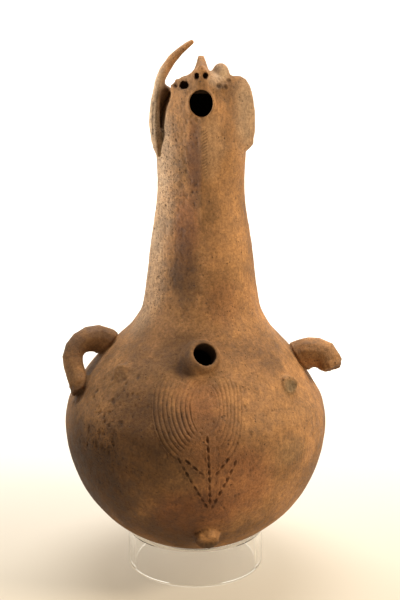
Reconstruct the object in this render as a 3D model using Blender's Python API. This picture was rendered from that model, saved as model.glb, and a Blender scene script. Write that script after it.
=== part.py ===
"""Fired clay vessel in the form of a figure, standing on a clear ring.

A round bottle carries a long neck, and the neck ends in a head thrown back with its mouth open.
Two arms grow from the shoulders, a spout from the chest, and two crests from the sides of the head.
Metres, +Z up. The figure faces -Y, and the origin is under the middle of the model, on the floor.
"""
import math

import bmesh
import bpy
import numpy as np
from mathutils import Vector

# Ring stand: a cut length of clear tube.
RING_RADIUS = 0.064
RING_WALL = 0.006
RING_HEIGHT = 0.035
SEAT_GAP = 0.0003

# Bottle: a ball with flatter shoulders, and the neck above it.
BODY_X = -0.0043
BODY_RADIUS = 0.1210
WALL = 0.0065
NECK_X = 0.0010
NECK_LENGTH = 0.1434
NECK_FOOT_RADIUS = 0.0530
NECK_MIDDLE_RADIUS = 0.0457
NECK_WAIST_RADIUS = 0.0389
THROAT_RIDGE = 0.0013

# Shoulder curve: rise above the ball's centre and radius, both as shares of the ball's radius.
SHOULDER_SHARES = (
    (0.150, 0.977), (0.300, 0.900), (0.420, 0.822), (0.536, 0.730), (0.644, 0.622), (0.744, 0.525),
)
NECK_FOOT_SHARE = 0.910
NECK_MIDDLE_SHARE = 0.38
NECK_WAIST_SHARE = 0.76

# Head: rise above its base as a share of its height, then half width, half depth and forward shift
# as shares of its radius.
HEAD_RADIUS = 0.0406
HEAD_HEIGHT = 0.066
HEAD_SHARES = (
    (0.08, 0.95, 0.99, 0.0), (0.22, 0.91, 0.985, 0.0), (0.36, 0.86, 0.98, 0.0), (0.54, 0.765, 0.955, 0.01),
    (0.66, 0.67, 0.91, 0.03), (0.78, 0.645, 0.82, 0.09), (0.85, 0.56, 0.71, 0.17), (0.91, 0.40, 0.54, 0.31),
    (0.965, 0.20, 0.32, 0.49),
)
HEAD_TOP_SHIFT = 0.58
HEAD_ROOF = 0.015

# Mouth, nostrils and chest spout.
MOUTH_HALF_WIDTH = 0.0100
MOUTH_HALF_HEIGHT = 0.0114
MOUTH_RISE = 0.0390
LIP = 0.0011
NOSTRIL_HALF_WIDTH = 0.0023
NOSTRIL_HALF_HEIGHT = 0.0030
NOSTRIL_SPACING = 0.0070
NOSTRIL_DEPTH = 0.010
SPOUT_BORE_RADIUS = 0.0100
SPOUT_RIM_RADIUS = 0.0137
SPOUT_FOOT_RADIUS = 0.0172
SPOUT_LENGTH = 0.0102
SPOUT_RISE_SHARE = 0.648
SPOUT_SIDE = math.radians(1.8)
SPOUT_TILT = math.radians(34)
SPOUT_TURN = math.radians(22)

# Arms: places on the centre line from the ball's centre as shares of its radius, then the arm's thickness
# there as a share of its wrist's.
LEFT_WRIST_RADIUS = 0.0092
RIGHT_WRIST_RADIUS = 0.0108
LEFT_ARM_SHARES = (
    (-0.530, 0.000, 0.440, 1.50), (-0.620, 0.000, 0.524, 1.60), (-0.697, -0.017, 0.617, 1.52),
    (-0.800, -0.058, 0.640, 1.33), (-0.890, -0.116, 0.602, 1.09), (-0.920, -0.166, 0.520, 1.06),
    (-0.895, -0.216, 0.427, 1.03), (-0.864, -0.266, 0.345, 1.00), (-0.850, -0.291, 0.294, 0.95),
)
RIGHT_ARM_SHARES = (
    (0.560, 0.000, 0.290, 1.45), (0.690, 0.000, 0.425, 1.45), (0.805, -0.017, 0.497, 1.38),
    (0.893, -0.050, 0.535, 1.28), (0.986, -0.083, 0.520, 1.14), (1.019, -0.122, 0.430, 1.02),
)

# Crests on the head: a standing curved horn at the left and a broken fin at the right.
# Each horn place holds x and rise as shares of the head's height, then half thickness and half depth.
HORN_SHARES = (
    (-0.530, -0.100, 0.0032, 0.0140), (-0.620, 0.065, 0.0033, 0.0160), (-0.652, 0.310, 0.0033, 0.0170),
    (-0.625, 0.575, 0.0033, 0.0165), (-0.572, 0.765, 0.0037, 0.0140), (-0.543, 0.845, 0.0039, 0.0130),
    (-0.468, 1.000, 0.0042, 0.0105),
    (-0.380, 1.125, 0.0040, 0.0085), (-0.275, 1.235, 0.0035, 0.0070), (-0.170, 1.318, 0.0029, 0.0055),
    (-0.085, 1.375, 0.0019, 0.0034),
)
HORN_JOINED = 5
HORN_Y = 0.002

# Fin as shares of the head's height: its thickness, the rise and x of its outer edge, and its places in plan.
FIN_THICKNESS_SHARE = 0.1030
FIN_SHARES = (
    (-0.140, 0.520), (-0.030, 0.650), (0.035, 0.704), (0.110, 0.706), (0.205, 0.722), (0.350, 0.720),
    (0.470, 0.718), (0.590, 0.702), (0.700, 0.683), (0.810, 0.645), (0.890, 0.588), (0.930, 0.510),
)
FIN_ROOT_SHARES = (0.2652, -0.3258)
FIN_EDGE_SHARE = -0.1288
FIN_CHEEK_TURN = math.radians(40)
FIN_CHEEK_DEPTH = 0.0010

# Nose and crown ridge as shares of the head's height: y, rise of its foot, half width of its foot,
# rise of its top and half width of its top.
RIDGE_SHARES = (
    (-0.585, 0.790, 0.048, 1.030, 0.026), (-0.555, 0.800, 0.098, 1.088, 0.012),
    (-0.420, 0.790, 0.130, 1.076, 0.015), (-0.210, 0.780, 0.135, 1.055, 0.020),
    (-0.060, 0.780, 0.120, 1.120, 0.034), (0.060, 0.740, 0.110, 1.182, 0.036),
    (0.170, 0.700, 0.105, 1.180, 0.034), (0.300, 0.660, 0.080, 1.000, 0.030),
)
RIDGE_BROW = 0.985

# Nubs on the breast and the lug under the belly: turn from the front, rise as a share of the ball's radius,
# and how far each faces forward instead of square to the skin.
LEFT_NUB = {
    "turn": math.radians(-46.0), "rise": 0.508, "forward": 0.6,
    "radius": 0.0086, "height": 0.0026, "taper": 0.70,
}
RIGHT_NUB = {
    "turn": math.radians(54.0), "rise": 0.410, "forward": 0.8,
    "radius": 0.0090, "height": 0.0046, "taper": 0.86,
}
LUG = {
    "turn": math.radians(6.2), "rise": -0.639, "forward": 0.3,
    "radius": 0.0112, "height": 0.0078, "taper": 0.86,
}

# Incised arcs under the spout: nested ovals about one centre, cut as V grooves. Each side has its own
# spacing, and the ovals grow in height by a stretch of that. All of them start at one height.
LEFT_ARC_COUNT = 9
LEFT_ARC_SPACING = 0.0040
LEFT_ARC_STRETCH = 0.88
RIGHT_ARC_COUNT = 7
RIGHT_ARC_SPACING = 0.0033
RIGHT_ARC_STRETCH = 1.50
ARC_INNER_WIDTH = 0.0125
ARC_INNER_HEIGHT = 0.0205
ARC_TURN = math.radians(4.4)
ARC_RISE_SHARE = 0.360
ARC_TOP_RISE = 0.0195
ARC_TOP_LIMIT = 0.92
ARC_END_ANGLE = math.radians(-57)
GROOVE_WIDTH = 0.0014
GROOVE_DEPTH = 0.0010
GROOVE_STEPS = 7

# Rows of short stabs under the arcs: turn in degrees and rise as a share of the ball's radius at the row's
# first and last stab, and how many there are.
STAB_ROWS = (
    ((-6.1, 0.015), (4.6, -0.336), 8), ((5.0, 0.161), (6.2, -0.303), 9), ((15.9, -0.018), (7.5, -0.349), 7),
    ((-2.6, 0.005), (2.8, -0.079), 3), ((12.9, 0.016), (8.6, -0.083), 3),
)
STAB_LENGTH = 0.0044
STAB_WIDTH = 0.0022
STAB_DEPTH = 0.0016

SEGMENTS = 44
HOLLOW_SEGMENTS = 28
RING_SEGMENTS = 56
PIERCE = 0.008

BODY_Z = RING_HEIGHT + math.sqrt((BODY_RADIUS + SEAT_GAP) ** 2 - (RING_RADIUS - RING_WALL) ** 2)
NECK_FOOT_Z = BODY_Z + NECK_FOOT_SHARE * BODY_RADIUS
HEAD_BASE_Z = NECK_FOOT_Z + NECK_LENGTH
HEAD_TOP_Z = HEAD_BASE_Z + HEAD_HEIGHT


def clear_scene():
    for item in list(bpy.data.objects):
        bpy.data.objects.remove(item, do_unlink=True)


def clay_material():
    material = bpy.data.materials.new("fired_clay")
    material.use_nodes = True
    shader = material.node_tree.nodes["Principled BSDF"]
    shader.inputs["Base Color"].default_value = (0.33, 0.19, 0.095, 1.0)
    shader.inputs["Roughness"].default_value = 0.78
    shader.inputs["Metallic"].default_value = 0.0
    material.diffuse_color = (0.33, 0.19, 0.095, 1.0)
    return material


def clear_material():
    material = bpy.data.materials.new("clear_acrylic")
    material.use_nodes = True
    shader = material.node_tree.nodes["Principled BSDF"]
    shader.inputs["Base Color"].default_value = (0.93, 0.94, 0.92, 1.0)
    shader.inputs["Roughness"].default_value = 0.04
    shader.inputs["Metallic"].default_value = 0.0
    shader.inputs["Alpha"].default_value = 0.3
    material.diffuse_color = (0.93, 0.94, 0.92, 0.3)
    return material


def smooth_curve(places):
    """Return a function through the (place, value) pairs that never overshoots between them."""
    xs = [place for place, _ in places]
    ys = [value for _, value in places]
    steps = [(ys[i + 1] - ys[i]) / (xs[i + 1] - xs[i]) for i in range(len(xs) - 1)]
    slopes = [0.0]
    for before, after in zip(steps, steps[1:]):
        slopes.append(0.0 if before * after <= 0 else 2 * before * after / (before + after))
    slopes.append(steps[-1])

    def value_at(place):
        place = min(max(place, xs[0]), xs[-1])
        i = max(k for k in range(len(xs) - 1) if k == 0 or xs[k] <= place)
        width = xs[i + 1] - xs[i]
        t = (place - xs[i]) / width
        rise = (3 - 2 * t) * t * t
        lead = t * (1 - t) ** 2 * width * slopes[i]
        tail = t * t * (t - 1) * width * slopes[i + 1]
        return ys[i] + rise * (ys[i + 1] - ys[i]) + lead + tail

    return value_at


def profile_places():
    places = [(BODY_Z, BODY_RADIUS)]
    for rise, share in SHOULDER_SHARES:
        places.append((BODY_Z + rise * BODY_RADIUS, share * BODY_RADIUS))
    places.append((NECK_FOOT_Z, NECK_FOOT_RADIUS))
    places.append((NECK_FOOT_Z + NECK_MIDDLE_SHARE * NECK_LENGTH, NECK_MIDDLE_RADIUS))
    places.append((NECK_FOOT_Z + NECK_WAIST_SHARE * NECK_LENGTH, NECK_WAIST_RADIUS))
    places.append((HEAD_BASE_Z, HEAD_RADIUS))
    return places


NECK_CURVE = smooth_curve(profile_places())
HEAD_WIDTH_CURVE = smooth_curve([(0.0, 1.0)] + [(rise, width) for rise, width, _, _ in HEAD_SHARES])
HEAD_DEPTH_CURVE = smooth_curve([(0.0, 1.0)] + [(rise, depth) for rise, _, depth, _ in HEAD_SHARES])
HEAD_SHIFT_CURVE = smooth_curve([(0.0, 0.0)] + [(rise, shift) for rise, _, _, shift in HEAD_SHARES])


def half_sizes(z):
    """Half width and half depth of the outside at a height."""
    if z < BODY_Z:
        radius = math.sqrt(max(BODY_RADIUS ** 2 - (BODY_Z - z) ** 2, 0.0))
        return radius, radius
    if z <= HEAD_BASE_Z:
        return NECK_CURVE(z), NECK_CURVE(z)
    rise = (z - HEAD_BASE_Z) / HEAD_HEIGHT
    return HEAD_RADIUS * HEAD_WIDTH_CURVE(rise), HEAD_RADIUS * HEAD_DEPTH_CURVE(rise)


def middle(z):
    """Centre at a height: the neck stands a little to one side, and the head's top leans forward."""
    low = BODY_Z + SHOULDER_SHARES[1][0] * BODY_RADIUS
    t = min(max((z - low) / (NECK_FOOT_Z - low), 0.0), 1.0)
    x = BODY_X + (NECK_X - BODY_X) * t * t * (3 - 2 * t)
    return Vector((x, -HEAD_RADIUS * HEAD_SHIFT_CURVE((z - HEAD_BASE_Z) / HEAD_HEIGHT), z))


def slope_at(z):
    step = 0.0005
    return (half_sizes(z + step)[0] - half_sizes(z - step)[0]) / (2 * step)


def surface_place(turn, z):
    """Point and outward direction on the bottle, a turn of 0 facing -Y."""
    radius = half_sizes(z)[0]
    flat = Vector((math.sin(turn), -math.cos(turn), 0.0))
    point = middle(z) + radius * flat
    outward = (flat - Vector((0.0, 0.0, slope_at(z)))).normalized()
    return point, outward


def oval(centre, half_x, half_y, count):
    points = []
    for k in range(count):
        angle = 2 * math.pi * k / count - math.pi / 2
        place = (half_x * math.cos(angle), half_y * math.sin(angle), 0.0)
        points.append(Vector(centre) + Vector(place))
    return points


def build_object(name, mesh_data, material=None, helper=False):
    mesh = bpy.data.meshes.new(name)
    bmesh.ops.recalc_face_normals(mesh_data, faces=mesh_data.faces)
    mesh_data.to_mesh(mesh)
    mesh_data.free()
    thing = bpy.data.objects.new(name, mesh)
    bpy.context.scene.collection.objects.link(thing)
    if material:
        mesh.materials.append(material)
    if helper:
        thing.hide_render = True
        thing.display_type = "WIRE"
    return thing


def loft(name, sections, material=None, helper=True, first_point=None, last_point=None):
    """Close a skin over rings of equal count, each end flat or drawn to a point."""
    data = bmesh.new()
    rings = [[data.verts.new(point) for point in section] for section in sections]
    count = len(rings[0])
    for lower, upper in zip(rings, rings[1:]):
        for k in range(count):
            following = (k + 1) % count
            data.faces.new((lower[k], lower[following], upper[following], upper[k]))
    for ring, point in ((rings[0], first_point), (rings[-1], last_point)):
        if point is None:
            data.faces.new(ring)
            continue
        tip = data.verts.new(point)
        for k in range(count):
            data.faces.new((ring[k], ring[(k + 1) % count], tip))
    return build_object(name, data, material, helper)


def outside_heights():
    """Heights of the rings of the outer skin, one of them at the line of contact with the ring stand."""
    contact = math.asin((RING_RADIUS - RING_WALL) / (BODY_RADIUS + SEAT_GAP))
    angles = [contact * k / 4 for k in range(1, 4)]
    angles += [contact + (math.pi / 2 - contact) * k / 8 for k in range(9)]
    heights = [BODY_Z - BODY_RADIUS * math.cos(angle) for angle in angles]
    heights += [BODY_Z + (NECK_FOOT_Z - BODY_Z) * k / 10 for k in range(1, 11)]
    heights += [NECK_FOOT_Z + NECK_LENGTH * k / 7 for k in range(1, 8)]
    heights += [HEAD_BASE_Z + shares[0] * HEAD_HEIGHT for shares in HEAD_SHARES]
    return heights


def outside(material):
    """Ball, neck and head as one skin, with the raised line down the throat."""
    ridge_low = NECK_FOOT_Z + 0.6 * NECK_LENGTH
    ridge_high = HEAD_BASE_Z + 0.4 * HEAD_HEIGHT
    sections = []
    for z in outside_heights():
        half_x, half_y = half_sizes(z)
        section = oval(middle(z), half_x, half_y, SEGMENTS)
        if ridge_low < z < ridge_high:
            section[0].y -= THROAT_RIDGE
        sections.append(section)
    bottom = Vector((BODY_X, 0.0, BODY_Z - BODY_RADIUS))
    top = Vector((NECK_X, -HEAD_TOP_SHIFT * HEAD_RADIUS, HEAD_TOP_Z))
    return loft("vessel", sections, material, helper=False, first_point=bottom, last_point=top)


def hollow():
    """The one empty space inside, a wall's thickness in from the skin."""
    inner_radius = BODY_RADIUS - WALL
    sections = []
    for k in range(1, 7):
        angle = math.pi / 2 * k / 6
        z = BODY_Z - inner_radius * math.cos(angle)
        radius = inner_radius * math.sin(angle)
        sections.append(oval((BODY_X, 0.0, z), radius, radius, HOLLOW_SEGMENTS))
    heights = [BODY_Z + (NECK_FOOT_Z - BODY_Z) * k / 7 for k in range(1, 8)]
    heights += [NECK_FOOT_Z + NECK_LENGTH * k / 5 for k in range(1, 6)]
    roof = HEAD_TOP_Z - HEAD_ROOF
    heights += [HEAD_BASE_Z + (roof - WALL - HEAD_BASE_Z) * k / 3 for k in range(1, 4)]
    for z in heights:
        half_x, half_y = half_sizes(z)
        wall = WALL * math.sqrt(1 + slope_at(z) ** 2)
        sections.append(oval(middle(z), half_x - wall, half_y - wall, HOLLOW_SEGMENTS))
    bottom = Vector((BODY_X, 0.0, BODY_Z - inner_radius))
    return loft("hollow", sections, first_point=bottom, last_point=middle(roof))


def smooth_path(places, count):
    """Evenly numbered places on a smooth line through the given ones, the ends included."""
    line = [np.array(place) for place in places]
    line = [2 * line[0] - line[1]] + line + [2 * line[-1] - line[-2]]
    points = []
    last = len(places) - 1
    for k in range(count):
        place = last * k / (count - 1)
        i = min(int(place), last - 1)
        t = place - i
        a, b, c, d = line[i:i + 4]
        bend = (2 * a - 5 * b + 4 * c - d) * t * t + (3 * b - a - 3 * c + d) * t ** 3
        points.append(0.5 * (2 * b + (c - a) * t + bend))
    return points


def tube(name, path, radii, sides, rough_end=0.0):
    """Round limb along a path, its last ring uneven where the limb broke off."""
    sections = []
    side = Vector((0.0, 1.0, 0.0))
    for i, point in enumerate(path):
        ahead = path[min(i + 1, len(path) - 1)] - path[max(i - 1, 0)]
        ahead.normalize()
        side = (side - side.dot(ahead) * ahead).normalized()
        up = ahead.cross(side)
        section = []
        for k in range(sides):
            angle = 2 * math.pi * k / sides
            place = point + radii[i] * (math.cos(angle) * side + math.sin(angle) * up)
            if i == len(path) - 1:
                place += rough_end * math.sin(2.4 * angle + 1.0) * ahead
            section.append(place)
        sections.append(section)
    return loft(name, sections, last_point=path[-1] - 0.6 * rough_end * ahead)


def arm(name, shares, wrist_radius, count, sides):
    centre = Vector((BODY_X, 0.0, BODY_Z))
    places = smooth_path(shares, count)
    path = [centre + BODY_RADIUS * Vector(place[:3]) for place in places]
    radii = [wrist_radius * float(place[3]) for place in places]
    return tube(name, path, radii, sides, rough_end=0.0018)


def boss(name, turn, rise, radius, height, taper, forward):
    """Low round lump on the bottle, its foot sunk in the wall and its top worn."""
    point, outward = surface_place(turn, BODY_Z + rise * BODY_RADIUS)
    outward = (outward + forward * Vector((0.0, -1.0, 0.0))).normalized()
    turned = outward.to_track_quat("Z", "Y").to_matrix()
    sides = 14
    rings = (
        (-0.6 * WALL, 1.12 * radius), (0.0, 1.06 * radius), (0.6 * height, 0.5 * (1 + taper) * radius),
        (height, taper * radius),
    )
    sections = []
    for depth, wide in rings:
        section = []
        for k in range(sides):
            angle = 2 * math.pi * k / sides
            uneven = wide * (1 + 0.05 * math.sin(3 * angle + rise))
            place = Vector((uneven * math.cos(angle), uneven * math.sin(angle), depth))
            section.append(point + turned @ place)
        sections.append(section)
    return loft(name, sections, last_point=point + 0.85 * height * outward)


def spout_axis():
    flat = Vector((math.sin(SPOUT_TURN), -math.cos(SPOUT_TURN), 0.0))
    return (math.cos(SPOUT_TILT) * flat + Vector((0.0, 0.0, math.sin(SPOUT_TILT)))).normalized()


def spout_rings(rings, sides=24):
    """Rings about the spout's axis, each given as its distance along the axis and its radius."""
    point, _ = surface_place(SPOUT_SIDE, BODY_Z + SPOUT_RISE_SHARE * BODY_RADIUS)
    turned = spout_axis().to_track_quat("Z", "Y").to_matrix()
    sections = []
    for along, radius in rings:
        section = []
        for k in range(sides):
            angle = 2 * math.pi * k / sides
            place = Vector((radius * math.cos(angle), radius * math.sin(angle), along))
            section.append(point + turned @ place)
        sections.append(section)
    return sections


def spout_collar():
    foot = -0.5 * SPOUT_FOOT_RADIUS
    rings = (
        (foot, 1.10 * SPOUT_FOOT_RADIUS), (0.05 * SPOUT_LENGTH, SPOUT_FOOT_RADIUS),
        (0.55 * SPOUT_LENGTH, 0.5 * (SPOUT_FOOT_RADIUS + SPOUT_RIM_RADIUS)),
        (0.90 * SPOUT_LENGTH, SPOUT_RIM_RADIUS),
        (SPOUT_LENGTH, 0.5 * (SPOUT_RIM_RADIUS + SPOUT_BORE_RADIUS)),
    )
    return loft("spout_collar", spout_rings(rings))


def spout_bore():
    inner_end = -(WALL / math.cos(SPOUT_TILT) + 1.6 * SPOUT_BORE_RADIUS)
    rings = ((inner_end, SPOUT_BORE_RADIUS), (SPOUT_LENGTH + PIERCE, SPOUT_BORE_RADIUS))
    return loft("spout_bore", spout_rings(rings))


def mouth_ring(half_x, half_z, y, sides=24):
    z = HEAD_BASE_Z + MOUTH_RISE
    points = []
    for k in range(sides):
        angle = 2 * math.pi * k / sides
        points.append(Vector((NECK_X + half_x * math.cos(angle), y, z + half_z * math.sin(angle))))
    return points


def mouth_lip():
    front = -half_sizes(HEAD_BASE_Z + MOUTH_RISE)[1]
    inside = front + 0.7 * WALL
    sections = []
    for wide, y in ((2.0 * LIP, inside), (2.0 * LIP, front + 0.3 * LIP), (0.7 * LIP, front - 0.8 * LIP)):
        sections.append(mouth_ring(MOUTH_HALF_WIDTH + wide, MOUTH_HALF_HEIGHT + wide, y))
    return loft("mouth_lip", sections)


def mouth_bore():
    front = -half_sizes(HEAD_BASE_Z + MOUTH_RISE)[1]
    sections = [
        mouth_ring(MOUTH_HALF_WIDTH, MOUTH_HALF_HEIGHT, front + WALL + PIERCE),
        mouth_ring(MOUTH_HALF_WIDTH, MOUTH_HALF_HEIGHT, front - PIERCE),
    ]
    return loft("mouth_bore", sections)


def nostril(name, side):
    """Blind hole in the front of the nose."""
    sides = 10
    z = HEAD_BASE_Z + 0.942 * HEAD_HEIGHT
    front = RIDGE_SHARES[0][0] * HEAD_HEIGHT
    sections = []
    for y in (front - PIERCE, front + NOSTRIL_DEPTH):
        section = []
        for k in range(sides):
            angle = 2 * math.pi * k / sides
            x = NECK_X + side * NOSTRIL_SPACING / 2 + NOSTRIL_HALF_WIDTH * math.cos(angle)
            section.append(Vector((x, y, z + NOSTRIL_HALF_HEIGHT * math.sin(angle))))
        sections.append(section)
    return loft(name, sections)


def crown_ridge():
    """Nose in front, low bridge behind it, and the broken peak of the crown ridge."""
    sections = []
    for y, foot, wide, top, narrow in RIDGE_SHARES:
        side = ((wide, foot), (0.85 * wide, RIDGE_BROW), (narrow, top))
        outline = [(-across, rise) for across, rise in reversed(side)] + list(side)
        places = [HEAD_HEIGHT * Vector((across, y, rise)) for across, rise in outline]
        sections.append([Vector((NECK_X, 0.0, HEAD_BASE_Z)) + place for place in places])
    return loft("crown_ridge", sections)


def lump(name, centre_shares, half_shares, columns=12, rows=8):
    """Egg shaped lump, its place from the head's base and its sizes given as shares of the head's height."""
    place = Vector((NECK_X, 0.0, HEAD_BASE_Z)) + HEAD_HEIGHT * Vector(centre_shares)
    halves = HEAD_HEIGHT * Vector(half_shares)
    sections = []
    for i in range(1, rows):
        angle = math.pi * i / rows
        level = place - Vector((0.0, 0.0, halves[2] * math.cos(angle)))
        sections.append(oval(level, halves[0] * math.sin(angle), halves[1] * math.sin(angle), columns))
    rise = Vector((0.0, 0.0, halves[2]))
    return loft(name, sections, first_point=place - rise, last_point=place + rise)


def horn():
    """Curved sheet that leaves the neck as a flange, stands free of the head and bends over it."""
    sides = 14
    places = [(x * HEAD_HEIGHT, HORN_Y, HEAD_BASE_Z + rise * HEAD_HEIGHT) for x, rise, _, _ in HORN_SHARES]
    path = [Vector(place) for place in places]
    sections = []
    for i, point in enumerate(path):
        _, _, half_thick, half_deep = HORN_SHARES[i]
        ahead = (path[min(i + 1, len(path) - 1)] - path[max(i - 1, 0)]).normalized()
        inward = Vector((ahead.z, 0.0, -ahead.x))
        curl = 0.0
        if i < HORN_JOINED:
            half_x, half_y = half_sizes(point.z)
            back = (point.y + half_deep - middle(point.z).y) / half_y
            head_side = NECK_X - half_x * math.sqrt(max(1 - back ** 2, 0.0))
            curl = max(head_side + 0.6 * WALL - point.x, 0.0)
        section = []
        for k in range(sides):
            angle = 2 * math.pi * k / sides
            across = math.copysign(abs(math.cos(angle)) ** 0.7, math.cos(angle))
            through = math.copysign(abs(math.sin(angle)) ** 0.7, math.sin(angle))
            bent = half_thick * through + curl * ((across + 1) / 2) ** 2
            section.append(point + Vector((0.0, half_deep * across, 0.0)) + bent * inward)
        sections.append(section)
    return loft("horn", sections)


def fin():
    """Broken sheet at the right of the head, turned to face forward and level with the cheek in front."""
    corners = ((0.93, -0.45), (1.0, -0.1), (1.0, 0.1), (0.93, 0.45), (0.5, 0.5), (0.0, 0.5))
    thickness = FIN_THICKNESS_SHARE * HEAD_HEIGHT
    sections = []
    for rise, edge in FIN_SHARES:
        z = HEAD_BASE_Z + rise * HEAD_HEIGHT
        inner = Vector((FIN_ROOT_SHARES[0] * HEAD_HEIGHT, FIN_ROOT_SHARES[1] * HEAD_HEIGHT, z))
        outer = Vector((NECK_X + edge * HEAD_HEIGHT, FIN_EDGE_SHARE * HEAD_HEIGHT, z))
        along = outer - inner
        normal = Vector((-along.y, along.x, 0.0)).normalized()
        section = [inner + share * along + thickness * side * normal for share, side in corners]
        half_x, half_y = half_sizes(z)
        across = (half_x - FIN_CHEEK_DEPTH) * math.sin(FIN_CHEEK_TURN)
        forward = (half_y - FIN_CHEEK_DEPTH) * math.cos(FIN_CHEEK_TURN)
        cheek = middle(z) + Vector((across, -forward, 0.0))
        sections.append([cheek, (cheek + section[0]) / 2] + section)
    return loft("fin", sections)


def groove_point(growth, stretch, side, angle, lift, sideways):
    """Point near the bottle's skin on one oval of the incised pattern."""
    width = ARC_INNER_WIDTH + growth + sideways
    height = ARC_INNER_HEIGHT + stretch * growth + sideways
    z = BODY_Z + ARC_RISE_SHARE * BODY_RADIUS + height * math.sin(angle)
    turn = ARC_TURN + side * width * math.cos(angle) / half_sizes(z)[0]
    point, outward = surface_place(turn, z)
    return point + lift * outward


def grooves(name, side, count, spacing, stretch):
    """All the V grooves of one side, as one helper of separate wedges."""
    data = bmesh.new()
    corners = ((GROOVE_DEPTH, GROOVE_WIDTH), (GROOVE_DEPTH, -GROOVE_WIDTH), (-GROOVE_DEPTH, 0.0))
    for size in range(count):
        growth = size * spacing
        start = math.asin(min(ARC_TOP_RISE / (ARC_INNER_HEIGHT + stretch * growth), ARC_TOP_LIMIT))
        rings = []
        for k in range(GROOVE_STEPS + 1):
            angle = start + (ARC_END_ANGLE - start) * k / GROOVE_STEPS
            points = [groove_point(growth, stretch, side, angle, lift, across) for lift, across in corners]
            rings.append([data.verts.new(point) for point in points])
        for lower, upper in zip(rings, rings[1:]):
            for k in range(3):
                data.faces.new((lower[k], lower[(k + 1) % 3], upper[(k + 1) % 3], upper[k]))
        data.faces.new(rings[0])
        data.faces.new(rings[-1])
    return build_object(name, data, helper=True)


def stabs():
    """Short pits in rows, each a wedge that lies along its row."""
    data = bmesh.new()
    for first, last, count in STAB_ROWS:
        start, _ = surface_place(math.radians(first[0]), BODY_Z + first[1] * BODY_RADIUS)
        end, _ = surface_place(math.radians(last[0]), BODY_Z + last[1] * BODY_RADIUS)
        for k in range(count):
            t = k / (count - 1)
            turn = math.radians(first[0] + (last[0] - first[0]) * t)
            rise = first[1] + (last[1] - first[1]) * t
            point, outward = surface_place(turn, BODY_Z + rise * BODY_RADIUS)
            along = end - start
            along = (along - along.dot(outward) * outward).normalized()
            across = along.cross(outward)
            top = point + 0.5 * STAB_DEPTH * outward
            rim = []
            for i, j in ((-1, -1), (1, -1), (1, 1), (-1, 1)):
                corner = top + 0.5 * STAB_LENGTH * i * along + 0.5 * STAB_WIDTH * j * across
                rim.append(data.verts.new(corner))
            tip = data.verts.new(point - STAB_DEPTH * outward)
            data.faces.new(rim)
            for i in range(4):
                data.faces.new((rim[i], rim[(i + 1) % 4], tip))
    return build_object("stabs", data, helper=True)


def combine(body, helper, operation):
    modifier = body.modifiers.new(helper.name, "BOOLEAN")
    modifier.operation = operation
    modifier.solver = "EXACT"
    modifier.object = helper


def vessel(material):
    body = outside(material)
    added = [
        arm("left_arm", LEFT_ARM_SHARES, LEFT_WRIST_RADIUS, 14, 12),
        arm("right_arm", RIGHT_ARM_SHARES, RIGHT_WRIST_RADIUS, 10, 12),
        boss("left_nub", **LEFT_NUB),
        boss("right_nub", **RIGHT_NUB),
        boss("lug", **LUG),
        spout_collar(),
        mouth_lip(),
        horn(),
        fin(),
        lump("right_lobe", (0.2545, -0.2273, 0.9091), (0.1303, 0.1212, 0.1894)),
        lump("left_stump", (-0.2652, -0.2424, 0.7576), (0.1364, 0.1288, 0.1288)),
        crown_ridge(),
    ]
    removed = [
        lump("stump_hollow_outer", (-0.3455, -0.3561, 0.8333), (0.0424, 0.0909, 0.0394), 8, 6),
        lump("stump_hollow_inner", (-0.2152, -0.3788, 0.8182), (0.0606, 0.0909, 0.0515), 8, 6),
        nostril("left_nostril", -1),
        nostril("right_nostril", 1),
        grooves("left_grooves", -1, LEFT_ARC_COUNT, LEFT_ARC_SPACING, LEFT_ARC_STRETCH),
        grooves("right_grooves", 1, RIGHT_ARC_COUNT, RIGHT_ARC_SPACING, RIGHT_ARC_STRETCH),
        stabs(),
        hollow(),
        spout_bore(),
        mouth_bore(),
    ]
    for helper in added:
        combine(body, helper, "UNION")
    for helper in removed:
        combine(body, helper, "DIFFERENCE")
    body.data.shade_smooth()
    body.data.set_sharp_from_angle(angle=math.radians(40))
    return body


def ring_stand(material):
    inner = RING_RADIUS - RING_WALL
    data = bmesh.new()
    loops = []
    for radius, z in ((inner, 0.0), (RING_RADIUS, 0.0), (RING_RADIUS, RING_HEIGHT), (inner, RING_HEIGHT)):
        places = oval((BODY_X, 0.0, z), radius, radius, RING_SEGMENTS)
        loops.append([data.verts.new(place) for place in places])
    for here, following in zip(loops, loops[1:] + loops[:1]):
        for k in range(RING_SEGMENTS):
            after = (k + 1) % RING_SEGMENTS
            data.faces.new((here[k], here[after], following[after], following[k]))
    stand = build_object("ring_stand", data, material)
    stand.data.shade_smooth()
    stand.data.set_sharp_from_angle(angle=math.radians(40))
    return stand


def main():
    clear_scene()
    vessel(clay_material())
    ring_stand(clear_material())


main()
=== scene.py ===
"""Looks of a fired clay vessel in the form of a figure, and of the clear ring it stands on."""

import math

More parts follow.
